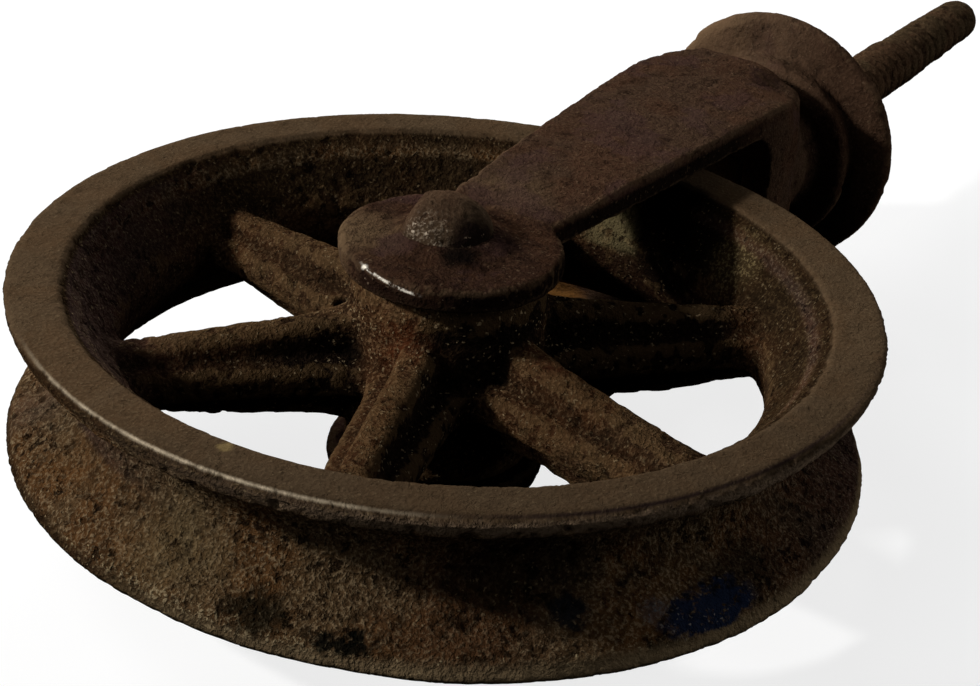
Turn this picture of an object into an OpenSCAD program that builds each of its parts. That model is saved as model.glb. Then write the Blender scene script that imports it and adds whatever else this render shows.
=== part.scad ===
// Screw-in pulley for a barn beam: a spoked cast-iron sheave runs on a riveted axle
// between the two arms of a cast yoke, and a lag screw held in the yoke's crossbar
// drives into the timber until the round flange bears on it.
//
// Millimetres. The origin is the centre of the flange's bearing face, on the screw's
// axis. +X runs along the screw towards its tip. +Z runs along the axle.

/* [Overall] */
// Distance from the axle's centre to the flange's bearing face
axle_to_seat = 135; // [130:1:160]

/* [Sheave] */
// Outside diameter of the sheave
sheave_d = 152.4; // [135:0.2:160]
// Width of the sheave over its two lips
sheave_w = 29.2; // [26:0.2:32]
// Depth of the rope groove below the lips
groove_depth = 12; // [9:0.5:14]
// Radius of the rope groove's rounded floor
groove_floor_r = 7.5; // [6:0.25:8.5]
// Width of the land on the edge of each lip
lip_w = 4; // [3:0.1:5]
// How far that land draws in towards the groove
lip_draft = 1.5; // [0:0.1:2.5]
// Width of the flat ring on the upper face of the rim
face_ring_w = 10; // [8:0.5:12]
// Width of the flat ring on the lower face of the rim
under_ring_w = 11.6; // [8:0.2:13]
// Wall of the rim under the groove's floor
rim_wall = 6.6; // [5:0.2:8]
// Height of the blunt ridge round the inside of the rim
rim_ridge_h = 6; // [4:0.5:8]
// Bevel on the outer corner of each lip
lip_bevel = 0.7; // [0.4:0.1:1.5]

/* [Spokes and hub] */
// Number of spokes
spoke_count = 6; // [5:1:7]
// Angle of the first spoke from the screw's direction
spoke_turn = 18; // [0:1:60]
// Thickness of a spoke's upright rib and of its flat web
spoke_t = 5.6; // [4:0.2:7]
// Height of a spoke's rib next to the hub
rib_h_hub = 19; // [16:0.2:24]
// Height of a spoke's rib next to the rim
rib_h_rim = 10.6; // [9:0.2:16]
// Width of a spoke's web next to the hub
web_w_hub = 15.2; // [12:0.2:17]
// Width of a spoke's web next to the rim
web_w_rim = 12.2; // [10:0.2:15]
// How far a spoke spreads where it grows out of the hub, and its web at the rim
spoke_flare = 1.8; // [1:0.2:4]
// Side of the square core that thickens the corners between rib and web
spoke_core = 8.4; // [6:0.2:9]
// Diameter of the hub
hub_d = 33.6; // [30:0.2:38]
// Bevel round each end of the hub
hub_bevel = 1.4; // [0.5:0.1:2.5]

/* [Yoke] */
// Thickness of the round ear at the end of each arm
ear_t = 3.9; // [3:0.1:6]
// Diameter of the ears
ear_d = 39.2; // [34:0.2:44]
// Rounding of an ear's outer edge
ear_edge_r = 1.2; // [0.5:0.1:1.8]
// Thickness of an arm along its middle line
arm_t = 6; // [4.5:0.1:8]
// Width of an arm level with the axle
arm_w_axle = 19.6; // [16:0.2:24]
// Width of an arm at the crossbar
arm_w_bar = 34; // [31:0.2:38]
// Radius of the crown across an arm's outer face
arm_crown_r = 240; // [100:10:400]
// Free way for the rope between the sheave and the crossbar
rope_way = 19.1; // [16:0.1:24]
// Radius of the inside corners between the arms and the crossbar
throat_r = 8; // [5:0.5:12]
// Thickness of the crossbar through its middle
crossbar_t = 28.4; // [24:0.1:30]
// Rounding of the shoulders behind the crossbar
shoulder_r = 12; // [3:0.5:14]
// Diameter of the short neck behind the crossbar
neck_d = 30.4; // [26:0.2:34]
// Diameter over the bead in front of the flange
bead_d = 43; // [38:0.5:46]
// Radius of the bead's section
bead_r = 1.8; // [1.2:0.1:2.4]
// Width of the hollow between the bead and the flange
cove_w = 2.2; // [1:0.1:4]
// Diameter of the flange
flange_d = 57.2; // [52:0.2:64]
// Thickness of the flange at its edge
flange_edge_t = 4; // [3:0.1:5]
// Thickness of the flange where the cove meets it
flange_root_t = 5.2; // [4.2:0.1:6]

/* [Axle rivet] */
// Diameter of the axle
axle_d = 9.5; // [8:0.1:12]
// Diameter of the axle's round head
head_d = 15.4; // [15:0.2:18]
// Height of the axle's round head
head_h = 7.4; // [5:0.1:7.5]
// Diameter of the hammered end
peen_d = 15; // [13:0.2:19]
// Height of the hammered end
peen_h = 5; // [3:0.1:6]

/* [Lag screw] */
// Length of the screw beyond the flange
screw_l = 112.7; // [80:0.1:150]
// Diameter of the screw's plain shank
shank_d = 12.7; // [10:0.1:16]
// Length of the plain shank beyond the flange
shank_l = 36; // [20:1:60]
// Diameter of the threaded part's body where it starts
thread_d = 12; // [9:0.1:12.5]
// Diameter of the threaded part's body just before its tip
thread_tip_d = 9.4; // [7:0.1:10]
// Length of the rounded tip
tip_l = 6; // [4:0.5:10]
// Width of the square head across its flats
screw_head_w = 19; // [17:0.2:22]
// Height of the square head
screw_head_h = 8.7; // [6:0.1:11]
// How much thicker than its shank the screw is inside the yoke, on the radius
screw_neck_step = 0.45; // [0.2:0.05:1]

/* [Clearances] */
// Running clearance between the axle and the sheave's bore, on the radius
bore_gap = 0.1; // [0.02:0.01:0.1]
// Running clearance between each end of the hub and its ear
hub_end_gap = 0.3; // [0.2:0.05:0.6]
// Clearance between the faces of the sheave and the arms
arm_gap = 3; // [1.5:0.1:4]
// Clearance round the axle in its ears and the screw in the yoke, on the radius
seat_gap = 0.05; // [0.02:0.01:0.15]

/* [Hidden] */
$fn = 96;

// Sheave
sheave_r = sheave_d / 2;
half_w = sheave_w / 2;
groove_mouth = half_w - lip_w;
mouth_r = sheave_r - lip_draft;
floor_r = sheave_r - groove_depth;
floor_centre_r = floor_r + groove_floor_r;
inner_r = floor_r - rim_wall;
face_inner_r = sheave_r - face_ring_w;
under_inner_r = sheave_r - under_ring_w;

// Where the groove's straight wall, drawn from the lip, touches its rounded floor
wall_run = mouth_r - floor_centre_r;
wall_reach = sqrt(wall_run * wall_run + groove_mouth * groove_mouth);
touch_angle = atan2(groove_mouth, wall_run) + acos(groove_floor_r / wall_reach);
touch_r = floor_centre_r + groove_floor_r * cos(touch_angle);
touch_z = groove_floor_r * sin(touch_angle);

// Spokes and hub
hub_r = hub_d / 2;
bore_r = axle_d / 2 + bore_gap;
fork_gap = half_w + arm_gap;
hub_half = fork_gap - hub_end_gap;
spoke_start = hub_r - 3;
spoke_end = floor_r - 1.4;
spoke_steps = 10;

// Yoke, measured from the axle
arm_face = fork_gap + arm_t;
ear_face = fork_gap + ear_t;
bar_x = sheave_r + rope_way;
back_x = bar_x + crossbar_t;
drum_x = back_x - arm_w_bar / 2;
rise_start = 0.6 * ear_d / 2;
rise_end = 2 * ear_d / 2;

// Flange, measured from its bearing face
flange_r = flange_d / 2;
flange_edge_r = flange_edge_t / 2;
neck_start = back_x - axle_to_seat - arm_w_bar / 4;
bead_x = -flange_root_t - cove_w - 2 * bead_r;
cove_r = bead_d / 2 - bead_r;

// Axle rivet and lag screw
axle_r = axle_d / 2;
shank_r = shank_d / 2;
screw_neck_r = shank_r + screw_neck_step;
head_face_x = bar_x - axle_to_seat;

// Puts a piece that is measured from the axle into the frame at the flange
module from_axle() {
    translate([-axle_to_seat, 0, 0]) children();
}

// Turns a shape drawn as [distance along X, radius] about the screw's axis
module turned_on_x() {
    rotate([0, 90, 0]) rotate_extrude() rotate([0, 0, 90]) mirror([0, 1, 0]) children();
}

// How much a spoke spreads at a distance from the piece that it grows out of
function flare(distance) = spoke_flare * exp(-max(0, distance) / spoke_flare);

// Half the size of a tapered spoke at a radius, from its size at each end
function spoke_half(r, at_hub, at_rim, rim_spread) =
    (at_hub + (at_rim - at_hub) * (r - hub_r) / (inner_r - hub_r)) / 2
    + flare(r - hub_r) + rim_spread * flare(inner_r - r);

// Radii at which a spoke's outline has its points, closest near both ends
function spoke_radius(i) =
    spoke_start + (spoke_end - spoke_start) * (1 - cos(180 * i / spoke_steps)) / 2;

// Outline of one tapered plate of a spoke, lying along X
module spoke_plate(at_hub, at_rim, rim_spread) {
    radii = [for (i = [0:spoke_steps]) spoke_radius(i)];
    halves = [for (r = radii) spoke_half(r, at_hub, at_rim, rim_spread)];
    polygon(concat(
        [for (i = [0:spoke_steps]) [radii[i], halves[i]]],
        [for (i = [spoke_steps:-1:0]) [radii[i], -halves[i]]]
    ));
}

// One spoke: a flat web, an upright rib and a core that fills the corners between them
module spoke() {
    linear_extrude(height = spoke_t, center = true) spoke_plate(web_w_hub, web_w_rim, 1);
    rotate([90, 0, 0])
        linear_extrude(height = spoke_t, center = true) spoke_plate(rib_h_hub, rib_h_rim, 0);
    translate([(spoke_start + spoke_end) / 2, 0, 0])
        rotate([45, 0, 0])
            cube([spoke_end - spoke_start, spoke_core, spoke_core], center = true);
}

// Section of the rim before the rope groove is turned in it
module rim_section() {
    polygon([
        [inner_r, -rim_ridge_h / 2],
        [under_inner_r, -half_w],
        [sheave_r - lip_bevel, -half_w],
        [sheave_r, -half_w + lip_bevel],
        [mouth_r, -groove_mouth],
        [mouth_r, groove_mouth],
        [sheave_r, half_w - lip_bevel],
        [sheave_r - lip_bevel, half_w],
        [face_inner_r, half_w],
        [inner_r, rim_ridge_h / 2]
    ]);
}

// Section of the rope groove: a rounded floor with walls that open out to the lips
module groove_section() {
    over = 2;
    mouth_over = groove_mouth + over * (groove_mouth - touch_z) / (mouth_r - touch_r);
    translate([floor_centre_r, 0]) circle(r = groove_floor_r);
    polygon([
        [touch_r, -touch_z],
        [mouth_r + over, -mouth_over],
        [mouth_r + over, mouth_over],
        [touch_r, touch_z]
    ]);
}

module hub() {
    rotate_extrude() polygon([
        [0, -hub_half],
        [hub_r - hub_bevel, -hub_half],
        [hub_r, -hub_half + hub_bevel],
        [hub_r, hub_half - hub_bevel],
        [hub_r - hub_bevel, hub_half],
        [0, hub_half]
    ]);
}

module sheave() {
    color([0.36, 0.29, 0.22]) from_axle() difference() {
        union() {
            rotate_extrude() rim_section();
            hub();
            for (i = [0:spoke_count - 1])
                rotate([0, 0, spoke_turn + i * 360 / spoke_count]) spoke();
        }
        rotate_extrude() groove_section();
        cylinder(r = bore_r, h = sheave_w + hub_d, center = true);
    }
}

// Outline of the arms and crossbar seen along the axle, round behind the crossbar
module yoke_plan() {
    polygon([
        [0, -arm_w_axle / 2],
        [drum_x, -arm_w_bar / 2],
        [drum_x, arm_w_bar / 2],
        [0, arm_w_axle / 2]
    ]);
    translate([drum_x, 0]) circle(d = arm_w_bar);
}

// Outline of the arms and crossbar seen from the side, with its shoulders rounded
module yoke_side() {
    corner_x = back_x - shoulder_r;
    corner_z = arm_face - shoulder_r;
    difference() {
        union() {
            polygon([
                [0, -ear_face],
                [rise_start, -ear_face],
                [rise_end, -arm_face],
                [corner_x, -arm_face],
                [corner_x, arm_face],
                [rise_end, arm_face],
                [rise_start, ear_face],
                [0, ear_face]
            ]);
            translate([corner_x - 1, -corner_z]) square([shoulder_r + 1, 2 * corner_z]);
            for (side = [-1, 1])
                translate([corner_x, side * corner_z]) circle(r = shoulder_r);
        }
        translate([-ear_d, -fork_gap]) square([ear_d + bar_x - throat_r, 2 * fork_gap]);
        translate([0, throat_r - fork_gap]) square([bar_x, 2 * (fork_gap - throat_r)]);
        for (side = [-1, 1])
            translate([bar_x - throat_r, side * (fork_gap - throat_r)]) circle(r = throat_r);
    }
}

// Rounds the outer faces of both arms across their width
module arm_crown() {
    intersection_for (side = [-1, 1])
        translate([-ear_d, 0, side * (arm_face - arm_crown_r)])
            rotate([0, 90, 0]) cylinder(r = arm_crown_r, h = back_x + 2 * ear_d, $fn = 192);
}

module arms_and_crossbar() {
    intersection() {
        rotate([90, 0, 0]) linear_extrude(height = 2 * arm_w_bar, center = true) yoke_side();
        linear_extrude(height = 4 * arm_face, center = true) yoke_plan();
        arm_crown();
    }
}

// One round ear on the +Z side, with the outer edge rounded
module ear() {
    edge_r = ear_d / 2 - ear_edge_r;
    rotate_extrude() {
        translate([0, fork_gap]) square([ear_d / 2, ear_t - ear_edge_r]);
        translate([0, fork_gap]) square([edge_r, ear_t]);
        translate([edge_r, ear_face - ear_edge_r]) circle(r = ear_edge_r, $fn = 32);
    }
}

// Neck, bead, cove and flange behind the crossbar, as one turned section
module flange_section() {
    polygon([
        [neck_start, 0],
        [neck_start, neck_d / 2],
        [bead_x, neck_d / 2],
        [bead_x, cove_r],
        [-flange_root_t, cove_r],
        [-flange_edge_t, flange_r - flange_edge_r],
        [0, flange_r - flange_edge_r],
        [0, 0]
    ]);
    translate([bead_x + bead_r, cove_r]) circle(r = bead_r, $fn = 32);
    translate([-flange_edge_r, flange_r - flange_edge_r]) circle(r = flange_edge_r, $fn = 32);
}

// The way through the yoke for the screw, with the pocket that holds its square head
module screw_way() {
    head_w = screw_head_w + 2 * seat_gap;
    translate([head_face_x - 1, 0, 0])
        rotate([0, 90, 0]) cylinder(r = screw_neck_r + seat_gap, h = axle_to_seat);
    translate([head_face_x - 1, -head_w / 2, -head_w / 2])
        cube([screw_head_h + 1, head_w, head_w]);
}

module yoke() {
    color([0.33, 0.27, 0.22]) difference() {
        union() {
            from_axle() {
                arms_and_crossbar();
                ear();
                mirror([0, 0, 1]) ear();
            }
            turned_on_x() flange_section();
        }
        from_axle() cylinder(r = axle_r + seat_gap, h = 4 * arm_face, center = true);
        screw_way();
    }
}

// A dome of a given diameter and height, standing on the ear
module dome(d, h) {
    sphere_r = (d * d / 4 + h * h) / (2 * h);
    translate([0, 0, ear_face]) intersection() {
        translate([0, 0, h - sphere_r]) sphere(r = sphere_r);
        translate([0, 0, h / 2]) cube([d, d, h], center = true);
    }
}

module axle_rivet() {
    color([0.38, 0.30, 0.22]) from_axle() {
        cylinder(r = axle_r, h = 2 * ear_face, center = true);
        dome(head_d, head_h);
        mirror([0, 0, 1]) dome(peen_d, peen_h);
    }
}

// Section of the screw from the middle of its head to its tip
module screw_section() {
    thread_end = screw_l - tip_l;
    tip_steps = 6;
    tip_r = thread_tip_d / 2;
    tip = [for (i = [0:tip_steps])
        [thread_end + tip_l * sin(90 * i / tip_steps), tip_r * cos(90 * i / tip_steps)]];
    polygon(concat([
        [head_face_x + screw_head_h / 2, 0],
        [head_face_x + screw_head_h / 2, screw_neck_r],
        [0, screw_neck_r],
        [0, shank_r],
        [shank_l, shank_r],
        [shank_l + (shank_d - thread_d), thread_d / 2]
    ], tip));
}

module lag_screw() {
    color([0.36, 0.26, 0.18]) {
        turned_on_x() screw_section();
        translate([head_face_x, -screw_head_w / 2, -screw_head_w / 2])
            cube([screw_head_h, screw_head_w, screw_head_w]);
    }
}

yoke();
sheave();
axle_rivet();
lag_screw();
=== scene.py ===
"""The looks of a screw-in farm pulley: two rusty castings, a hammered axle rivet and a worn lag screw."""
import math

import bmesh
import bpy
import numpy as np
from mathutils import Matrix, Vector, noise

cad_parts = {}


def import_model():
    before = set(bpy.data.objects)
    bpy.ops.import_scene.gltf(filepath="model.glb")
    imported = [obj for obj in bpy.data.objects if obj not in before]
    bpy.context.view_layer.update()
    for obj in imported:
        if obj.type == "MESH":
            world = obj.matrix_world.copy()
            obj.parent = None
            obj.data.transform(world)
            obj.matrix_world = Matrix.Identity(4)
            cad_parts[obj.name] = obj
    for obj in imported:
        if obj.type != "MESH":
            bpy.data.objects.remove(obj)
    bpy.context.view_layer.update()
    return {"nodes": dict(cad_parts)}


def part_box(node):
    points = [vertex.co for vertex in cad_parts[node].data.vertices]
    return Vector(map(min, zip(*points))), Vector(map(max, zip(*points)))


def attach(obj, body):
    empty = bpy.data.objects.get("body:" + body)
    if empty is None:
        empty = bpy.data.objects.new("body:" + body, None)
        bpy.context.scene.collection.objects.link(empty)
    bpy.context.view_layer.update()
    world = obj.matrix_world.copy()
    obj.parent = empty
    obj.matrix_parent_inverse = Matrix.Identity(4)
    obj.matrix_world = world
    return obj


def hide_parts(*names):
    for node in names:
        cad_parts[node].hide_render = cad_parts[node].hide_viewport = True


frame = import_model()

MM = 0.001

# The axle stands on +Z through this point; the screw lies along X
AXLE = Vector((-135 * MM, 0, 0))
RIM_R = 76.2 * MM
RIM_HALF = 14.6 * MM
GROOVE_R = 64.2 * MM
HUB_R = 16.8 * MM
BORE_R = 4.87 * MM
FORK_HALF = 17.6 * MM
# A casting flaw at the root of one spoke
BLOWHOLE = np.array([-135.8, 22.2, 2.6]) * MM
MOST_TRIANGLES = 190000


# Shapes


def new_piece(name, mesh, body, nodes, material):
    """A finished piece at the origin, riding on its body in place of its CAD nodes."""
    piece = bpy.data.objects.new(name, mesh)
    bpy.context.scene.collection.objects.link(piece)
    mesh.name = name
    mesh.shade_smooth()
    mesh.materials.clear()
    mesh.materials.append(material)
    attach(piece, body)
    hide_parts(*nodes)
    return piece


def applied(mesh, kind, **settings):
    """The mesh after one modifier."""
    holder = bpy.data.objects.new("holder", mesh)
    bpy.context.scene.collection.objects.link(holder)
    modifier = holder.modifiers.new("shape", kind)
    for key, value in settings.items():
        setattr(modifier, key, value)
    shaped = holder.evaluated_get(bpy.context.evaluated_depsgraph_get())
    result = bpy.data.meshes.new_from_object(shaped)
    bpy.data.objects.remove(holder)
    return result


def merged_copy(node):
    """A copy of a CAD node's mesh with its loose triangles joined."""
    shape = bmesh.new()
    shape.from_mesh(frame["nodes"][node].data)
    bmesh.ops.remove_doubles(shape, verts=shape.verts, dist=0.002 * MM)
    mesh = bpy.data.meshes.new(node)
    shape.to_mesh(mesh)
    shape.free()
    return mesh


def even_mesh(mesh, cell):
    """The same solid in small even faces, with its inside corners filled as in a casting."""
    return applied(mesh, "REMESH", mode="VOXEL", voxel_size=cell)


def places(mesh):
    co = np.empty(len(mesh.vertices) * 3)
    mesh.vertices.foreach_get("co", co)
    return co.reshape(-1, 3)


def set_places(mesh, co):
    mesh.vertices.foreach_set("co", np.ascontiguousarray(co).ravel())
    mesh.update()


def facings(mesh):
    out = np.empty(len(mesh.vertices) * 3)
    mesh.vertex_normals.foreach_get("vector", out)
    return out.reshape(-1, 3)


def softened(co, mesh, rounds, share=0.5):
    """Places drawn towards their neighbours, more where share is larger."""
    ends = np.empty(len(mesh.edges) * 2, np.int64)
    mesh.edges.foreach_get("vertices", ends)
    a, b = ends.reshape(-1, 2).T
    count = np.bincount(a, minlength=len(co)) + np.bincount(b, minlength=len(co))
    count = np.maximum(count, 1)[:, None]
    share = np.asarray(share)
    share = share[:, None] if share.ndim else share
    co = co.copy()
    for _ in range(rounds):
        total = np.zeros_like(co)
        for axis in range(3):
            total[:, axis] = np.bincount(a, co[b, axis], len(co)) + np.bincount(b, co[a, axis], len(co))
        co += share * (total / count - co)
    return co


def rough(co, size, seed=0.0, octaves=2):
    """Fractal noise, about -1 to 1, with bumps of that size."""
    shift = Vector((seed, seed * 1.7 + 3.1, seed * 0.6 - 5.3))
    return np.array([noise.fractal(Vector(p) + shift, 0.9, 2.1, octaves) for p in co / size])


def pitted(co, size, seed=0.0, share=0.3):
    """1 in scattered ragged hollows of about that size, and 0 between them."""
    return ramp(-rough(co, size, seed, 3), share, share + 0.35)


def ramp(value, low, high):
    t = np.clip((value - low) / (high - low), 0, 1)
    return t * t * (3 - 2 * t)


def heading(degrees):
    """A direction across the axle."""
    return (math.cos(math.radians(degrees)), math.sin(math.radians(degrees)), 0)


def keep_in_box(co, node):
    low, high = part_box(node)
    return np.clip(co, np.array(low), np.array(high))


def store(mesh, name, values):
    """A value for each point of the surface, which a material reads by name."""
    data = mesh.attributes.new(name, "FLOAT", "POINT")
    data.data.foreach_set("value", values.astype(np.float32))


def thinned(mesh, most):
    """The same surface in no more than that many triangles, kept small where it is rough."""
    now = sum(len(face.vertices) - 2 for face in mesh.polygons)
    return applied(mesh, "DECIMATE", ratio=most / now) if now > most else mesh


def mark_edges(mesh, rounds=14, full=0.35 * MM):
    """Stores how far each point stands proud of the surface round it, and how far it lies sunk."""
    co = places(mesh)
    proud = ((co - softened(co, mesh, rounds)) * facings(mesh)).sum(axis=1) / full
    store(mesh, "proud", np.clip(proud, 0, 1))
    store(mesh, "sunk", np.clip(-proud, 0, 1))


# The sheave


def sheave_mesh():
    mesh = even_mesh(merged_copy("sheave"), 0.62 * MM)
    co = places(mesh)
    radius = np.hypot(co[:, 0] - AXLE.x, co[:, 1])
    spokes = ramp(radius, HUB_R - 5 * MM, HUB_R) * (1 - ramp(radius, 57 * MM, 63 * MM))
    co += facings(mesh) * (spokes * 0.5 * MM)[:, None]
    co = softened(co, mesh, 4, 0.3 + 0.2 * spokes)
    co = softened(co, mesh, 16, 0.5 * spokes)
    # The mould's halves were a little out of line, so the spokes lie low and deepest by the rim
    deep = ramp(-co[:, 2], 1 * MM, 7 * MM) * ramp(radius, 20 * MM, 44 * MM)
    deep *= 1.0 - 0.6 * np.sign(co[:, 1]) * ramp(np.abs(co[:, 1]), 4 * MM, 20 * MM)
    co[:, 2] -= spokes * (0.6 + 1.4 * deep) * MM
    # One spoke's web is broader on one side, with a burr on it
    flat = (co - np.array(AXLE)) * (1, 1, 0)
    along = flat @ np.array(heading(258))
    beside = flat @ np.array(heading(348))
    broad = ramp(beside, 1.5 * MM, 4 * MM) * (1 - ramp(beside, 12 * MM, 16 * MM)) * ramp(along, 34 * MM, 50 * MM)
    broad *= (1 - ramp(along, 61 * MM, 65 * MM)) * (1 - ramp(np.abs(co[:, 2]), 7 * MM, 11 * MM))
    burr = 1 - ramp(np.hypot(along - 47.5 * MM, co[:, 2] + 1 * MM), 0.4 * MM, 1.8 * MM)
    push = 1.6 * broad + 1.1 * burr * ramp(beside, 2 * MM, 4 * MM) * (beside < 12 * MM)
    co += np.outer(push * MM, heading(348))
    # The upper lip's edges are rolled off, the outer one on one side only
    radius = np.hypot(co[:, 0] - AXLE.x, co[:, 1])
    worn_side = ramp(flat @ np.array(heading(208)), 30 * MM, 56 * MM)
    over = (radius - 74.5 * MM) * 0.69 + (co[:, 2] - 14.6 * MM) * 0.72
    over = np.where(radius > 70 * MM, np.maximum(over, 0), 0) * worn_side
    within = (67.1 * MM - radius) * 0.65 + (co[:, 2] - 14.6 * MM) * 0.76
    within = np.where((radius > 62 * MM) & (radius < 70 * MM), np.maximum(within, 0), 0)
    outward = (co - np.array(AXLE)) * (1, 1, 0) / np.maximum(radius, MM)[:, None]
    co += outward * (0.65 * within - 0.69 * over)[:, None]
    co[:, 2] -= 0.72 * over + 0.76 * within
    # The lower lip is a little out of round
    swell = ramp(flat @ np.array(heading(238)), 62 * MM, 72 * MM) * 0.6
    swell += ramp(flat @ np.array(heading(148)), 64 * MM, 72 * MM) * 0.4
    co += outward * (swell * ramp(radius, 68 * MM, 72 * MM) * ramp(-co[:, 2], 6 * MM, 11 * MM) * MM)[:, None]
    set_places(mesh, co)

    radius = np.hypot(co[:, 0] - AXLE.x, co[:, 1])
    height = co[:, 2]
    groove = ramp(radius, 62.5 * MM, 64 * MM) * (1 - ramp(np.abs(height), 10.5 * MM, 12.5 * MM))
    ring = ramp(np.abs(height), 14 * MM, 14.4 * MM) * ramp(radius, 62 * MM, 65 * MM)
    wild = 0.8 + 0.5 * groove - 0.55 * ring
    lift = 0.16 * rough(co, 26 * MM, 1.0) * (1 - 0.4 * ring)
    lift += wild * 0.12 * rough(co, 6 * MM, 2.0)
    lift += wild * 0.16 * rough(co, 2.1 * MM, 3.0, 3)
    lift -= wild * 0.42 * pitted(co, 4.2 * MM, 4.0, 0.36)
    lift -= wild * 0.3 * pitted(co, 1.9 * MM, 5.0, 0.3)
    co = co + facings(mesh) * (lift * MM)[:, None]

    away = np.linalg.norm(co - BLOWHOLE, axis=1)
    depth = 3.2 * MM * (1 - ramp(away, 0.9 * MM, 1.7 * MM))
    co = co - facings(mesh) * depth[:, None]

    across = np.stack([co[:, 0] - AXLE.x, co[:, 1]], axis=1)
    radius = np.linalg.norm(across, axis=1)
    in_bore = radius < 6 * MM
    across[in_bore] *= (BORE_R / radius[in_bore])[:, None]
    co[:, 0] = across[:, 0] + AXLE.x
    co[:, 1] = across[:, 1]
    set_places(mesh, keep_in_box(co, "sheave"))
    mesh = thinned(mesh, MOST_TRIANGLES)
    mark_edges(mesh)
    return mesh


# The yoke


def yoke_mesh():
    mesh = even_mesh(merged_copy("yoke"), 0.58 * MM)
    co = softened(places(mesh), mesh, 6, 0.5)
    # The arms are fuller on one side, and their shoulders there are cut back
    side = ramp(co[:, 1], 3 * MM, 11 * MM)
    full = ramp(co[:, 0], -112 * MM, -48 * MM) * (1 - ramp(co[:, 0], -40 * MM, -27 * MM))
    cut = ramp(co[:, 0], -32 * MM, -22 * MM) * (1 - ramp(co[:, 0], -13 * MM, -10 * MM))
    broad = ramp(-co[:, 2], 5 * MM, 15 * MM) * ramp(co[:, 0], -98 * MM, -78 * MM)
    broad *= 1 - ramp(co[:, 0], -58 * MM, -40 * MM)
    co[:, 1] += side * (1.9 * full + 2.4 * broad - 1.8 * cut) * MM
    # On their other side the shoulders fall away sooner
    side = ramp(-co[:, 1], 0, 15 * MM)
    fall = ramp(co[:, 0], -38 * MM, -22 * MM) * (1 - ramp(co[:, 0], -14 * MM, -10 * MM))
    outer = np.sign(co[:, 2]) * ramp(np.abs(co[:, 2]), 8 * MM, 20 * MM)
    co[:, 2] -= 3.2 * MM * side * fall * outer
    narrow = ramp(-co[:, 1], 3 * MM, 13 * MM) * ramp(co[:, 0], -36 * MM, -24 * MM)
    narrow *= 1 - ramp(co[:, 0], -14.5 * MM, -11.5 * MM)
    co[:, 1] += narrow * (1.4 + 1.5 * ramp(co[:, 2], 8 * MM, 20 * MM)) * MM
    # The upper ear is a little thick, and the lower one a little out of line with it
    radius = np.hypot(co[:, 0] - AXLE.x, co[:, 1])
    upper = ramp(co[:, 2], 18 * MM, 20 * MM)
    co[:, 2] += 0.5 * MM * upper * (1 - ramp(radius, 20 * MM, 28 * MM))
    far = ramp((co - np.array(AXLE)) @ np.array([0.26, 0.97, 0]), 7 * MM, 18 * MM)
    co[:, :2] += (upper * far)[:, None] * np.array([0.3, 1.1]) * MM
    lower = ramp(-co[:, 2], 16.5 * MM, 18.5 * MM) * ramp(radius, 9 * MM, 13 * MM)
    lower *= 1 - ramp(radius, 20 * MM, 34 * MM)
    co += lower[:, None] * np.array([-0.3, 0.5, -0.8]) * MM
    # The hammered head has drawn the upper ear up into a foot round it
    radius = np.hypot(co[:, 0] - AXLE.x - 0.9 * MM, co[:, 1] - 1.2 * MM)
    foot = ramp(co[:, 2], 19 * MM, 21 * MM) * (1 - ramp(radius, 7.5 * MM, 12.5 * MM))
    co[:, 2] += 1.5 * MM * foot
    # Rust and paint have filled the hollow before the flange, which is a little off its middle
    radius = np.hypot(co[:, 1], co[:, 2])
    rim = ramp(radius, 14 * MM, 24 * MM) * ramp(co[:, 0], -9 * MM, -5 * MM)
    co[:, 1:] += rim[:, None] * np.array([0.4, 0.15]) * MM
    back = ramp(-co[:, 0], 2 * MM, 4 * MM) * ramp(co[:, 0], -9 * MM, -6 * MM) * ramp(radius, 20 * MM, 23 * MM)
    co[:, 0] -= 2.2 * MM * back * ramp(co[:, 1], 4 * MM, 14 * MM) * ramp(co[:, 2], 0, 10 * MM)
    filled = ramp(co[:, 0], -13.5 * MM, -10.5 * MM) * (1 - ramp(co[:, 0], -5.5 * MM, -4 * MM))
    filled *= ramp(co[:, 2], -8 * MM, 4 * MM) * ramp(radius, 14 * MM, 18 * MM)
    filled *= 1 - ramp(radius, 25 * MM, 27 * MM)
    co = softened(co, mesh, 90, 0.5 * filled)
    set_places(mesh, co)
    lift = 0.14 * rough(co, 30 * MM, 11.0)
    lift += 0.11 * rough(co, 7 * MM, 12.0)
    lift += 0.1 * rough(co, 2.1 * MM, 13.0, 3)
    lift -= 0.26 * pitted(co, 4.4 * MM, 14.0, 0.38)
    lift -= 0.18 * pitted(co, 1.9 * MM, 15.0, 0.34)
    co = co + facings(mesh) * (lift * MM)[:, None]
    by_hub = (np.hypot(co[:, 0] - AXLE.x, co[:, 1]) < 24 * MM) & (np.abs(co[:, 2]) < 18.5 * MM)
    co[by_hub, 2] = np.sign(co[by_hub, 2]) * np.maximum(np.abs(co[by_hub, 2]), FORK_HALF)
    set_places(mesh, keep_in_box(co, "yoke"))
    mesh = thinned(mesh, MOST_TRIANGLES)
    mark_edges(mesh)
    return mesh


# The axle rivet


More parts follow.
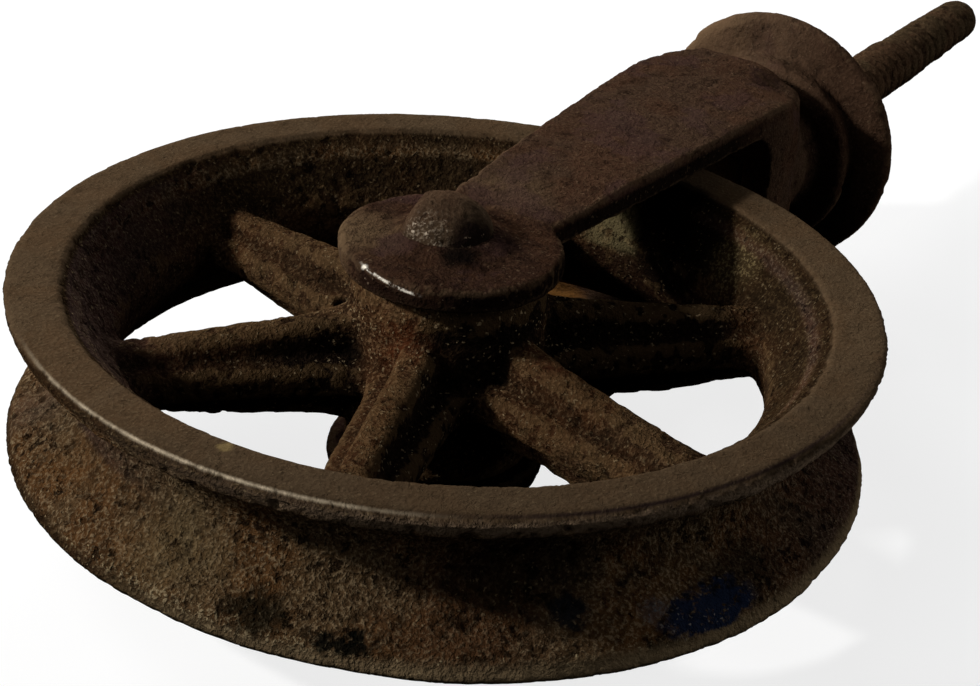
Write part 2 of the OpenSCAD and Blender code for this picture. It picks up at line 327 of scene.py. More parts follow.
def rivet_mesh():
    """A round head dented by hammer blows, off its middle and leaning, and a hammered lower end."""
    mesh = even_mesh(merged_copy("axle_rivet"), 0.34 * MM)
    co = softened(places(mesh), mesh, 4, 0.5)
    blows = [
        ((-0.55, 0.25, 0.8), 27.4),
        ((-0.5, 0.85, 0.75), 19.4),
        ((0.35, -0.6, 0.72), 24.6),
        ((0.7, 0.35, 0.62), 22.1),
        ((-0.15, -0.85, 0.5), 20.2),
        ((-0.4, -0.35, -0.85), 24.6),
        ((0.45, 0.2, -0.87), 24.8),
    ]
    for facing, depth in blows:
        facing = np.array(facing) / np.linalg.norm(facing)
        over = (co - np.array(AXLE)) @ facing - depth * MM
        co -= np.outer(np.maximum(over, 0) * 0.75, facing)
    head = ramp(co[:, 2], 20.5 * MM, 22.5 * MM)
    full = 1 + 0.08 * head + 0.12 * ramp(co[:, 2], 22 * MM, 26 * MM)
    co[:, :2] = (co[:, :2] - AXLE[:2]) * full[:, None] + AXLE[:2]
    lean = ramp(co[:, 2], 22 * MM, 28 * MM)
    co[:, 0] += (0.9 * head + 0.8 * lean) * MM
    co[:, 1] += (2.1 * head + 1.3 * lean) * MM
    set_places(mesh, co)
    ends = ramp(np.abs(co[:, 2]), 21 * MM, 22.5 * MM)
    lift = 0.2 * rough(co, 5 * MM, 21.0) + 0.09 * rough(co, 1.6 * MM, 22.0, 3)
    lift -= 0.2 * pitted(co, 1.8 * MM, 23.0, 0.34)
    co = co + facings(mesh) * (ends * lift * MM)[:, None]
    set_places(mesh, keep_in_box(co, "axle_rivet"))
    mark_edges(mesh, 20, 0.3 * MM)
    return mesh


# The lag screw

THREAD_PITCH = 4.23 * MM
THREAD_START = 34 * MM
TIP_X = 112.7 * MM


def screw_mesh():
    """A plain shank with a square head behind it, and a worn thread wound on a tapering body."""
    steps = 40
    turns = 19
    root_r = 5.6 * MM
    crest_r = 6.3 * MM
    flank = [(0.0, crest_r), (0.5, crest_r), (0.68, root_r), (0.82, root_r), (1.0, crest_r)]

    thread = bmesh.new()
    points = [thread.verts.new((THREAD_START + share * THREAD_PITCH, 0, r)) for share, r in flank]
    edges = [thread.edges.new(pair) for pair in zip(points, points[1:])]
    bmesh.ops.spin(
        thread, geom=points + edges, axis=(1, 0, 0), cent=(0, 0, 0), angle=2 * math.pi * turns,
        dvec=(THREAD_PITCH / steps, 0, 0), steps=steps * turns, use_merge=False,
    )
    bmesh.ops.remove_doubles(thread, verts=thread.verts, dist=0.01 * MM)
    cuts = ((THREAD_START + THREAD_PITCH, (-1, 0, 0)), (TIP_X - 0.2 * MM, (1, 0, 0)))
    for x, outward in cuts:
        geom = thread.verts[:] + thread.edges[:] + thread.faces[:]
        cut = bmesh.ops.bisect_plane(
            thread, geom=geom, plane_co=(x, 0, 0), plane_no=outward, clear_outer=True,
        )
        rim = [e for e in cut["geom_cut"] if isinstance(e, bmesh.types.BMEdge)]
        bmesh.ops.contextual_create(thread, geom=rim)
    bmesh.ops.recalc_face_normals(thread, faces=thread.faces)

    shank = bmesh.new()
    length = THREAD_START + THREAD_PITCH + 0.6 * MM
    turn = Matrix.Rotation(math.pi / 2, 4, "Y")
    bmesh.ops.create_cone(
        shank, cap_ends=True, segments=64, radius1=6.35 * MM, radius2=6.35 * MM, depth=length,
        matrix=Matrix.Translation((length / 2, 0, 0)) @ turn,
    )
    head_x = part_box("lag_screw")[0].x
    bmesh.ops.create_cone(
        shank, cap_ends=True, segments=64, radius1=6.8 * MM, radius2=6.8 * MM, depth=-head_x - 4 * MM,
        matrix=Matrix.Translation(((head_x + 4 * MM) / 2, 0, 0)) @ turn,
    )
    square = bmesh.ops.create_cube(
        shank, size=1.0,
        matrix=Matrix.Translation((head_x + 4.35 * MM, 0, 0)) @ Matrix.Diagonal((8.7 * MM, 19 * MM, 19 * MM, 1)),
    )
    edges = list({e for v in square["verts"] for e in v.link_edges})
    bmesh.ops.bevel(
        shank, geom=edges, offset=0.8 * MM, segments=3, affect="EDGES", profile=0.5, material=-1,
    )
    made = bpy.data.meshes.new("shank")
    shank.to_mesh(made)
    thread.from_mesh(made)
    shank.free()
    joined = bpy.data.meshes.new("screw")
    thread.to_mesh(joined)
    thread.free()

    mesh = even_mesh(joined, 0.38 * MM)
    co = softened(places(mesh), mesh, 3, 0.5)
    # The thread narrows towards the tip and is rounded off there
    taper = 1 - 0.14 * ramp(co[:, 0], 50 * MM, TIP_X)
    to_tip = np.clip((co[:, 0] - (TIP_X - 6 * MM)) / (6 * MM), 0, 1)
    taper *= np.sqrt(np.clip(1 - 0.93 * to_tip ** 2.4, 0, 1))
    co[:, 1:] *= taper[:, None]
    set_places(mesh, co)
    free = ramp(co[:, 0], 1 * MM, 6 * MM)
    lift = 0.45 * rough(co, 11 * MM, 31.0) + 0.1
    lift += 0.1 * rough(co, 1.8 * MM, 32.0, 3)
    lift -= 0.22 * pitted(co, 2.2 * MM, 33.0, 0.34)
    co = co + facings(mesh) * (free * lift * MM)[:, None]
    set_places(mesh, keep_in_box(co, "lag_screw"))
    mark_edges(mesh, 8, 0.22 * MM)
    return mesh


# Materials


def tone(red, green, blue):
    """A colour as the eye sees it on a 0 to 255 scale, as the light values that a shader takes."""
    def light(value):
        value /= 255
        return value / 12.92 if value <= 0.04045 else ((value + 0.055) / 1.055) ** 2.4
    return (light(red), light(green), light(blue), 1.0)


def plug(tree, value, socket):
    if isinstance(value, bpy.types.NodeSocket):
        tree.links.new(value, socket)
    else:
        socket.default_value = value


def add(tree, kind, inputs=(), **settings):
    made = tree.nodes.new("ShaderNode" + kind)
    for key, value in settings.items():
        setattr(made, key, value)
    for socket, value in dict(inputs).items():
        plug(tree, value, made.inputs[socket])
    return made


def maths(tree, operation, a, b=0.0, c=0.0, clamp=False):
    made = add(tree, "Math", {0: a, 1: b, 2: c}, operation=operation, use_clamp=clamp)
    return made.outputs[0]


def between(tree, value, low, high):
    """0 at low and 1 at high, with soft ends."""
    made = add(tree, "MapRange", {"Value": value, "From Min": low, "From Max": high},
               interpolation_type="SMOOTHSTEP")
    return made.outputs["Result"]


def mixed(tree, share, a, b, blend="MIX"):
    made = add(tree, "Mix", data_type="RGBA", blend_type=blend)
    plug(tree, share, made.inputs[0])
    plug(tree, a, made.inputs[6])
    plug(tree, b, made.inputs[7])
    return made.outputs[2]


def cloud(tree, where, scale, detail=3.0, roughness=0.55, distortion=0.0):
    made = add(tree, "TexNoise", {
        "Vector": where, "Scale": scale, "Detail": detail, "Roughness": roughness,
        "Distortion": distortion,
    })
    return made.outputs["Fac"]


def group(name, inputs, outputs, build):
    """A shader node group, built once, with named inputs and outputs."""
    tree = bpy.data.node_groups.new(name, "ShaderNodeTree")
    for label, kind, value in inputs:
        socket = tree.interface.new_socket(label, in_out="INPUT", socket_type="NodeSocket" + kind)
        if value is not None:
            socket.default_value = value
    for label, kind in outputs:
        tree.interface.new_socket(label, in_out="OUTPUT", socket_type="NodeSocket" + kind)
    into = tree.nodes.new("NodeGroupInput")
    out = tree.nodes.new("NodeGroupOutput")
    for label, value in build(tree, into.outputs).items():
        plug(tree, value, out.inputs[label])
    return tree


def use(tree, made, **inputs):
    placed = tree.nodes.new("ShaderNodeGroup")
    placed.node_tree = made
    for label, value in inputs.items():
        plug(tree, value, placed.inputs[label.replace("_", " ")])
    return placed.outputs


def build_grain(tree, given):
    """Gritty skin of a rusted casting: lumps, fine grit, scattered ragged pits and pale specks."""
    where = given["Vector"]
    bend = add(tree, "TexNoise", {"Vector": where, "Scale": 900.0, "Detail": 3.0}).outputs["Color"]
    bend = add(tree, "VectorMath", {0: bend, 3: 0.0018}, operation="SCALE").outputs[0]
    bent = add(tree, "VectorMath", {0: where, 1: bend}, operation="ADD").outputs[0]

    def scattered(scale, few, rim, core):
        """A ragged spot in some of the cells: 1 in its middle and 0 outside it."""
        cells = add(tree, "TexVoronoi", {"Vector": bent, "Scale": scale}, feature="F1").outputs
        pick = add(tree, "SeparateColor", {0: cells["Color"]}).outputs["Red"]
        spot = between(tree, cells["Distance"], rim, core)
        return maths(tree, "MULTIPLY", spot, between(tree, pick, few, few + 0.1))

    grit = cloud(tree, where, 1500.0, 3.0, 0.62)
    lumps = cloud(tree, where, 480.0, 4.0, 0.66)
    eaten = between(tree, cloud(tree, where, 170.0, 3.0, 0.6), 0.44, 0.6)
    pits = maths(tree, "MULTIPLY", between(tree, lumps, 0.47, 0.39), eaten)
    pits = maths(tree, "MAXIMUM", pits, scattered(620.0, 0.9, 0.4, 0.12))
    specks = scattered(1300.0, 0.74, 0.38, 0.2)
    level = maths(tree, "MULTIPLY_ADD", grit, 1.1, maths(tree, "MULTIPLY", lumps, 0.8))
    level = maths(tree, "MULTIPLY_ADD", pits, -0.3, level)
    return {
        "Height": maths(tree, "MULTIPLY_ADD", specks, 0.1, level),
        "Crests": between(tree, grit, 0.48, 0.64),
        "Pits": maths(tree, "MAXIMUM", pits, maths(tree, "MULTIPLY", between(tree, grit, 0.42, 0.32), 0.5)),
        "Specks": specks,
        "Clouds": between(tree, cloud(tree, where, 60.0, 3.0, 0.6, 0.6), 0.4, 0.6),
        "Blotches": between(tree, cloud(tree, where, 260.0, 4.0, 0.7), 0.4, 0.64),
    }


def build_tone(tree, given):
    """Iron that has rusted unevenly: a dull and a warm brown, dark in the pits and dusty on the grit."""
    colour = mixed(tree, given["Clouds"], given["Dull"], given["Warm"])
    colour = mixed(tree, maths(tree, "MULTIPLY", given["Blotches"], 0.3), colour, given["Dark"])
    colour = mixed(tree, maths(tree, "MULTIPLY", given["Crests"], given["Dust Share"]), colour, given["Dust"])
    colour = mixed(tree, maths(tree, "MULTIPLY", given["Pits"], given["Pit Share"]), colour, given["Dark"])
    return {"Color": colour}


def build_stain(tree, given):
    """A ragged patch about a point."""
    where = given["Vector"]
    ragged = add(tree, "TexNoise", {"Vector": where, "Scale": given["Raggedness"], "Detail": 4.0,
                                    "Roughness": 0.65})
    shift = add(tree, "VectorMath", {0: ragged.outputs["Color"], 1: (0.5, 0.5, 0.5)}, operation="SUBTRACT")
    shift = add(tree, "VectorMath", {0: shift.outputs[0], 3: given["Reach"]}, operation="SCALE")
    moved = add(tree, "VectorMath", {0: where, 1: shift.outputs[0]}, operation="ADD")
    away = add(tree, "VectorMath", {0: moved.outputs[0], 1: given["Centre"]}, operation="SUBTRACT")
    away = add(tree, "VectorMath", {0: away.outputs[0], 1: given["Stretch"]}, operation="MULTIPLY")
    distance = add(tree, "VectorMath", {0: away.outputs[0]}, operation="LENGTH").outputs["Value"]
    inner = maths(tree, "MULTIPLY", given["Radius"], given["Core"])
    made = add(tree, "MapRange", {"Value": distance, "From Min": given["Radius"], "From Max": inner},
               interpolation_type="SMOOTHSTEP")
    return {"Mask": made.outputs["Result"]}


def build_wear(tree, given):
    """Where rubbing has cleaned the proud edges, broken up by the grain."""
    broken = cloud(tree, given["Vector"], 700.0, 4.0, 0.7)
    level = maths(tree, "ADD", given["Proud"], maths(tree, "MULTIPLY_ADD", broken, 0.9, -0.45))
    return {"Mask": maths(tree, "MULTIPLY", between(tree, level, 0.42, 0.8), given["Amount"])}


def build_hoop(tree, given):
    """A thin line that runs round the axle at a radius and a height, rubbed away in places."""
    moved = add(tree, "VectorMath", {0: given["Vector"], 1: tuple(AXLE)}, operation="SUBTRACT").outputs[0]
    parts = add(tree, "SeparateXYZ", {0: moved}).outputs
    across = add(tree, "CombineXYZ", {"X": parts["X"], "Y": parts["Y"]}).outputs[0]
    radius = add(tree, "VectorMath", {0: across}, operation="LENGTH").outputs["Value"]
    off = add(tree, "CombineXYZ", {
        "X": maths(tree, "SUBTRACT", radius, given["Radius"]),
        "Y": maths(tree, "SUBTRACT", parts["Z"], given["Height"]),
    }).outputs[0]
    away = add(tree, "VectorMath", {0: off}, operation="LENGTH").outputs["Value"]
    ragged = cloud(tree, given["Vector"], 900.0, 4.0, 0.7)
    away = maths(tree, "MULTIPLY_ADD", maths(tree, "SUBTRACT", 0.5, ragged), given["Width"], away)
    line = add(tree, "MapRange", {"Value": away, "From Min": given["Width"], "From Max": 0.0},
               interpolation_type="SMOOTHSTEP")
    turn = add(tree, "VectorMath", {0: across, 1: given["Toward"]}, operation="DOT_PRODUCT").outputs["Value"]
    turn = maths(tree, "DIVIDE", turn, radius)
    part = add(tree, "MapRange", {"Value": turn, "From Min": given["Fades"], "From Max": 1.0},
               interpolation_type="SMOOTHSTEP")
    return {"Mask": maths(tree, "MULTIPLY", line.outputs["Result"], part.outputs["Result"])}


GRAIN = group(
    "cast_grain", [("Vector", "Vector", None)],
    [("Height", "Float"), ("Crests", "Float"), ("Pits", "Float"), ("Specks", "Float"),
     ("Clouds", "Float"), ("Blotches", "Float")], build_grain,
)
TONE = group(
    "rust_tone",
    [("Clouds", "Float", 0.5), ("Blotches", "Float", 0.0), ("Crests", "Float", 0.0), ("Pits", "Float", 0.0),
     ("Dull", "Color", None), ("Warm", "Color", None), ("Dark", "Color", None), ("Dust", "Color", None),
     ("Dust Share", "Float", 0.5), ("Pit Share", "Float", 0.6)],
    [("Color", "Color")], build_tone,
)
STAIN = group(
    "ragged_stain",
    [("Vector", "Vector", None), ("Centre", "Vector", None), ("Stretch", "Vector", (1, 1, 1)),
     ("Radius", "Float", 0.008), ("Core", "Float", 0.4), ("Reach", "Float", 0.01),
     ("Raggedness", "Float", 150.0)],
    [("Mask", "Float")], build_stain,
)
WEAR = group(
    "edge_wear",
    [("Vector", "Vector", None), ("Proud", "Float", 0.0), ("Amount", "Float", 1.0)],
    [("Mask", "Float")], build_wear,
)
HOOP = group(
    "rubbed_line",
    [("Vector", "Vector", None), ("Radius", "Float", 0.07), ("Height", "Float", 0.0),
     ("Width", "Float", 0.001), ("Toward", "Vector", (1, 0, 0)), ("Fades", "Float", 0.5)],
    [("Mask", "Float")], build_hoop,
)


def point(x, y, z):
    return (x * MM, y * MM, z * MM)


class Finish:
    """A material being put together: its colour, roughness and grain so far."""

    def __init__(self, name):
        self.material = bpy.data.materials.new(name)
        self.material.use_nodes = True
        self.tree = self.material.node_tree
        self.shader = self.tree.nodes["Principled BSDF"]
        self.shader.inputs["Specular IOR Level"].default_value = 0.0
        self.where = add(self.tree, "TexCoord").outputs["Object"]
        self.proud = add(self.tree, "Attribute", attribute_name="proud").outputs["Fac"]
        self.sunk = add(self.tree, "Attribute", attribute_name="sunk").outputs["Fac"]
        self.grain = use(self.tree, GRAIN, Vector=self.where)

    def tone(self, **values):
        masks = {label: self.grain[label] for label in ("Clouds", "Blotches", "Crests", "Pits")}
        return use(self.tree, TONE, **masks, **values)["Color"]

    def stain(self, centre, radius, stretch=(1, 1, 1), core=0.4, reach=8.0, raggedness=150.0):
        return use(
            self.tree, STAIN, Vector=self.where, Centre=point(*centre), Radius=radius * MM,
            Stretch=stretch, Core=core, Reach=reach * MM, Raggedness=raggedness,
        )["Mask"]

    def wear(self, amount):
        return use(self.tree, WEAR, Vector=self.where, Proud=self.proud, Amount=amount)["Mask"]

    def hoop(self, radius, height, width, degrees, spread):
        """A rubbed line round the axle, strongest at one heading and gone at spread degrees from it."""
        return use(
            self.tree, HOOP, Vector=self.where, Radius=radius * MM, Height=height * MM, Width=width * MM,
            Toward=heading(degrees), Fades=math.cos(math.radians(spread)),
        )["Mask"]

    def times(self, *shares):
        result = shares[0]
        for share in shares[1:]:
            result = maths(self.tree, "MULTIPLY", result, share)
        return result

    def over(self, share, below, above):
        return mixed(self.tree, share, below, above)

    def close(self, colour, roughness, depth, metal=0.0):
        """Joins colour, roughness, bare metal and the grain's bumps to the shader."""
        height = self.times(self.grain["Height"], depth)
        bump = add(self.tree, "Bump", {"Height": height, "Distance": MM, "Strength": 1.0})
        plug(self.tree, colour, self.shader.inputs["Base Color"])
        plug(self.tree, roughness, self.shader.inputs["Roughness"])
        plug(self.tree, metal, self.shader.inputs["Metallic"])
        plug(self.tree, bump.outputs["Normal"], self.shader.inputs["Normal"])
        return self.material


def wheel_place(finish):
    """Place from the wheel's middle and distance from the axle, in metres."""
    tree = finish.tree
    moved = add(tree, "VectorMath", {0: finish.where, 1: tuple(AXLE)}, operation="SUBTRACT").outputs[0]
    parts = add(tree, "SeparateXYZ", {0: moved}).outputs
    across = add(tree, "CombineXYZ", {"X": parts["X"], "Y": parts["Y"]}).outputs[0]
    radius = add(tree, "VectorMath", {0: across}, operation="LENGTH").outputs["Value"]
    return moved, parts, radius


def sheave_iron():
    finish = Finish("sheave_iron")
    tree = finish.tree
    moved, parts, radius = wheel_place(finish)
    height = maths(tree, "ABSOLUTE", parts["Z"])
    ring = finish.times(
        between(tree, height, 13.6 * MM, 14.2 * MM), between(tree, radius, 62 * MM, 64 * MM))
    groove = finish.times(
        between(tree, radius, 62.6 * MM, 63.6 * MM), between(tree, height, 13 * MM, 11 * MM))

    def toward(degrees, low, high):
        """Grows from low to high, in millimetres, along a heading across the wheel."""
        along = add(tree, "VectorMath", {0: moved, 1: heading(degrees)}, operation="DOT_PRODUCT")
        return between(tree, along.outputs["Value"], low * MM, high * MM)

    body = finish.tone(Dull=tone(52, 36, 23), Warm=tone(58, 37, 22), Dark=tone(15, 10, 7),
                       Dust=tone(112, 88, 62), Dust_Share=0.4, Pit_Share=0.7)
    wall = finish.tone(Dull=tone(40, 29, 18), Warm=tone(44, 30, 18), Dark=tone(15, 10, 7),
                       Dust=tone(90, 72, 48), Dust_Share=0.35, Pit_Share=0.65)
    colour = finish.over(between(tree, radius, 56 * MM, 60 * MM), body, wall)
    groove_tone = finish.tone(Dull=tone(78, 60, 40), Warm=tone(84, 58, 34), Dark=tone(24, 16, 10),
                              Dust=tone(140, 120, 92), Dust_Share=0.55, Pit_Share=0.9)
    colour = finish.over(groove, colour, groove_tone)
    # Painted shade: the lower half of the inner wall by the crossbar, which faces downwards, is darker
    by_screw = finish.times(toward(0, 42, 54), between(tree, radius, 66 * MM, 65 * MM))
    colour = finish.over(
        finish.times(by_screw, between(tree, parts["Z"], 0, -1.5 * MM), 0.75), colour, tone(30, 18, 13))
    # Painted shadow: the arm's shadow on the inner wall by the crossbar, painted near black
    painted_arm_shadow = finish.stain((-76.0, -15.0, 5.5), 12.5, core=0.75, reach=2.5)
    colour = finish.over(finish.times(painted_arm_shadow, 0.85), colour, tone(14, 10, 7))
    # Painted light: a pale patch on the upper half of the inner wall, where light falls between the shadows of the
    # arm and the ear
    pale = finish.stain((-77.2, -0.5, 3.0), 7.5, core=0.5, reach=3.0)
    pale = finish.times(pale, between(tree, parts["Z"], -0.6 * MM, 1.0 * MM))
    grit = maths(tree, "MULTIPLY_ADD", finish.grain["Pits"], -0.8, 0.85)
    colour = finish.over(finish.times(pale, grit), colour, tone(94, 84, 58))
    # Pale sandy flecks on the upper wall beside the crossbar, partly the iron's own and partly painted light where
    # that wall is lit
    sandy_and_lit = finish.stain((-81.0, -30.0, 8.0), 9.0, core=0.2, reach=5.0)
    grit = maths(tree, "MULTIPLY_ADD", finish.grain["Crests"], 0.55, 0.12)
    colour = finish.over(finish.times(sandy_and_lit, grit), colour, tone(122, 106, 72))

    # The groove is orange on one side, tan before it, red-brown in front and a darker dull purple beyond; the
    # purple is partly the iron's purple-brown rust and partly painted shade on the side turned away from the main
    # light
    for centre, size, share, shade in (
        ((-195.0, 30.0, -5.0), 12.0, 0.45, tone(92, 62, 34)), ((-184.0, 51.0, -7.0), 12.0, 0.5, tone(76, 62, 52)),
        ((-203.0, 3.0, -8.0), 14.0, 0.45, tone(98, 84, 58)), ((-192.0, -44.0, -9.0), 20.0, 0.55, tone(60, 40, 28)),
    ):
        mask = finish.stain(centre, size, core=0.1, reach=12.0)
        grit = maths(tree, "MULTIPLY_ADD", finish.grain["Pits"], -share, share)
        colour = finish.over(finish.times(mask, grit), colour, shade)
    purple = finish.tone(Dull=tone(56, 42, 38), Warm=tone(60, 42, 37), Dark=tone(20, 13, 13),
                         Dust=tone(96, 80, 72), Dust_Share=0.35, Pit_Share=0.7)
    colour = finish.over(finish.times(groove, toward(-50, 30, 75), 0.85), colour, purple)
    # The inner wall on the left, turned away from the main light, takes the same darker purple, partly rust and
    # partly painted shade
    inner_left = finish.times(toward(125, 40, 64), between(tree, radius, 66 * MM, 65 * MM))
    colour = finish.over(finish.times(inner_left, 0.8), colour, purple)

    clumps = between(tree, cloud(tree, finish.where, 330.0, 4.0, 0.75, 0.5), 0.47, 0.38)
    colour = finish.over(finish.times(clumps, groove, 0.5), colour, tone(30, 21, 14))

    # Fresh orange rust gathers on the side of the hub
    orange = finish.stain((-151.5, -3.0, 9.0), 9.0, core=0.1, reach=9.0, raggedness=260.0)
    fresh = finish.stain((-140.5, -24.0, 9.5), 5.5, core=0.2, reach=5.0, raggedness=320.0)
    for mask, share, shade in ((orange, 0.5, tone(84, 42, 22)), (fresh, 0.6, tone(56, 28, 17))):
        colour = finish.over(finish.times(mask, share), colour, shade)
    by_hub = between(tree, radius, 27 * MM, 21 * MM)
    colour = finish.over(finish.times(by_hub, finish.grain["Crests"], 0.3), colour, tone(122, 94, 66))
    colour = finish.over(finish.times(by_hub, clumps, 0.5), colour, tone(20, 13, 9))
    ring_tone = finish.tone(Dull=tone(74, 59, 43), Warm=tone(74, 57, 40), Dark=tone(50, 39, 27),
                            Dust=tone(94, 78, 58), Dust_Share=0.35, Pit_Share=0.35)
    colour = finish.over(ring, colour, ring_tone)
    ring_front = finish.times(ring, toward(-130, 25, 70))
    colour = finish.over(finish.times(ring_front, 0.45), colour, tone(50, 40, 29))
    for at, height, width, share, shade in (
        (75.9, 12.0, 2.6, 1.0, tone(128, 108, 88)), (76.0, -13.0, 2.8, 0.95, tone(122, 104, 78)),
    ):
        lip = finish.hoop(at, height, width, -100, 100)
        colour = finish.over(finish.times(lip, share), colour, shade)
    seam = finish.hoop(74.7, 14.3, 0.6, -112, 45)
    colour = finish.over(finish.times(seam, 0.8), colour, tone(34, 24, 25))
    crust = finish.times(finish.hoop(75.0, -11.4, 2.4, -150, 110), finish.grain["Specks"])
    crumbs = finish.times(finish.hoop(75.2, -11.6, 2.2, -173, 22), finish.grain["Crests"], 0.7)
    colour = finish.over(maths(tree, "MAXIMUM", crust, crumbs), colour, tone(150, 134, 104))

    # Grease from the axle, deepened as painted shadow where the ear and hub cast theirs, blackens the hub's far
    # side, the band under the ear and the spokes beside them
    on_hub = between(tree, radius, 20 * MM, 17.6 * MM)
    spoke_grease_and_shade = finish.times(toward(-72, 0.6, 3.0), toward(-72, 15, 12), toward(198, 15, 19), toward(198, 55, 45))
    hub_side_grease_and_shade = finish.times(finish.stain((-141.0, -16.5, 0.0), 17.0, core=0.6, reach=5.0), on_hub)
    shade_under_ear = finish.times(on_hub, between(tree, parts["Z"], 8 * MM, 12 * MM), toward(-78, -2, 7))
    for mask, share in (
        (hub_side_grease_and_shade, 0.9), (shade_under_ear, 0.92), (spoke_grease_and_shade, 0.9),
        (finish.stain((-153.0, 15.0, -2.0), 13.0, core=0.6, reach=6.0), 0.92),
        (finish.stain((-165.0, 25.0, -7.0), 17.0, core=0.45, reach=6.0), 0.75),
        (finish.stain((-110.0, -23.0, -1.0), 23.0, core=0.75, reach=6.0), 0.88),
    ):
        # Near black, partly grease and partly painted shadow; the pale flecks on it are partly grit and partly
        # painted glints
        colour = finish.over(finish.times(mask, share), colour, tone(12, 9, 7))
        flecks_and_glints = finish.times(mask, finish.grain["Specks"], 0.45)
        colour = finish.over(flecks_and_glints, colour, tone(110, 98, 82))
        colour = finish.over(finish.times(mask, finish.grain["Crests"], 0.14), colour, tone(60, 48, 38))

    # Grease and paint that has been rubbed into the groove, and painted shadow under the upper lip
    for centre, size, tall, share, shade in (
        ((-206.7, -14.6, -9.6), 5.6, 1.4, 0.85, tone(14, 14, 9)),
        ((-202.8, -28.4, -10.8), 6.6, 3.4, 0.95, tone(8, 10, 8)),
        ((-178.5, -52.8, -7.2), 3.6, 1.4, 0.9, tone(18, 24, 30)),
        # Painted shadow under the upper lip in front, partly grease
        ((-181.0, -45.0, -1.5), 14.0, 1.7, 0.7, tone(9, 9, 7)),
    ):
        mask = finish.stain(
            centre, size, stretch=(0.8, 0.8, tall), core=0.4, reach=7.0, raggedness=420.0)
        colour = finish.over(finish.times(mask, share), colour, shade)
    # Painted shade: a black-green patch above the paint, under the upper lip
    shade = finish.stain((-152.0, -69.0, -8.0), 13.0, stretch=(1, 1, 3), core=0.3, reach=6.0)
    colour = finish.over(finish.times(shade, 0.6), colour, tone(16, 18, 16))
    paint = finish.stain((-161.0, -67.8, -9.9), 11.3, stretch=(1, 1, 4.6), core=0.7, reach=4.5,
                         raggedness=260.0)
    chipped = between(tree, cloud(tree, finish.where, 620.0, 4.0, 0.7), 0.68, 0.54)
    colour = finish.over(finish.times(paint, chipped, 0.97), colour, tone(24, 34, 54))
    colour = finish.over(finish.times(paint, finish.grain["Specks"], 0.75), colour, tone(104, 110, 124))
    chalky = finish.stain((-168.5, -62.5, -8.4), 4.0, stretch=(1, 1, 2), core=0.2, reach=3.0, raggedness=400.0)
    chalky = finish.times(chalky, maths(tree, "MULTIPLY_ADD", finish.grain["Crests"], 0.6, 0.3))
    colour = finish.over(chalky, colour, tone(66, 70, 80))
    splash = finish.stain((-203.4, -6.0, 14.6), 1.7, core=0.5, reach=2.0, raggedness=400.0)
    colour = finish.over(finish.times(splash, 0.6), colour, tone(120, 102, 66))

    # The rope has rubbed the upper lip bright on one side
    rubbed = finish.times(finish.hoop(75.0, 14.3, 0.55, 181, 36), 0.8)
    colour = finish.over(rubbed, colour, tone(160, 146, 124))
    inside = between(tree, radius, 66 * MM, 62 * MM)
    colour = finish.over(finish.times(finish.wear(0.22), inside), colour, tone(112, 88, 58))
    # Painted shade inside the blowhole
    blowhole_shade = finish.stain(tuple(BLOWHOLE / MM - np.array([0, 0, 0.6])), 2.0, core=0.6, reach=0.5)
    colour = finish.over(finish.times(blowhole_shade, 0.95), colour, tone(9, 5, 5))
    few = maths(tree, "MULTIPLY_ADD", ring, -0.22, maths(tree, "MULTIPLY_ADD", by_hub, 0.35, 0.32))
    colour = finish.over(finish.times(finish.grain["Specks"], few), colour, tone(150, 130, 98))
    colour = finish.over(finish.times(finish.sunk, 0.5), colour, tone(13, 9, 6))

    roughness = maths(tree, "MULTIPLY_ADD", finish.grain["Blotches"], 0.2, 0.7)
    roughness = maths(tree, "MULTIPLY_ADD", rubbed, -0.3, roughness)
    depth = maths(tree, "MULTIPLY_ADD", groove, 0.3, maths(tree, "MULTIPLY_ADD", ring, -0.5, 0.75))
    return finish.close(colour, roughness, depth, finish.times(rubbed, 0.4))


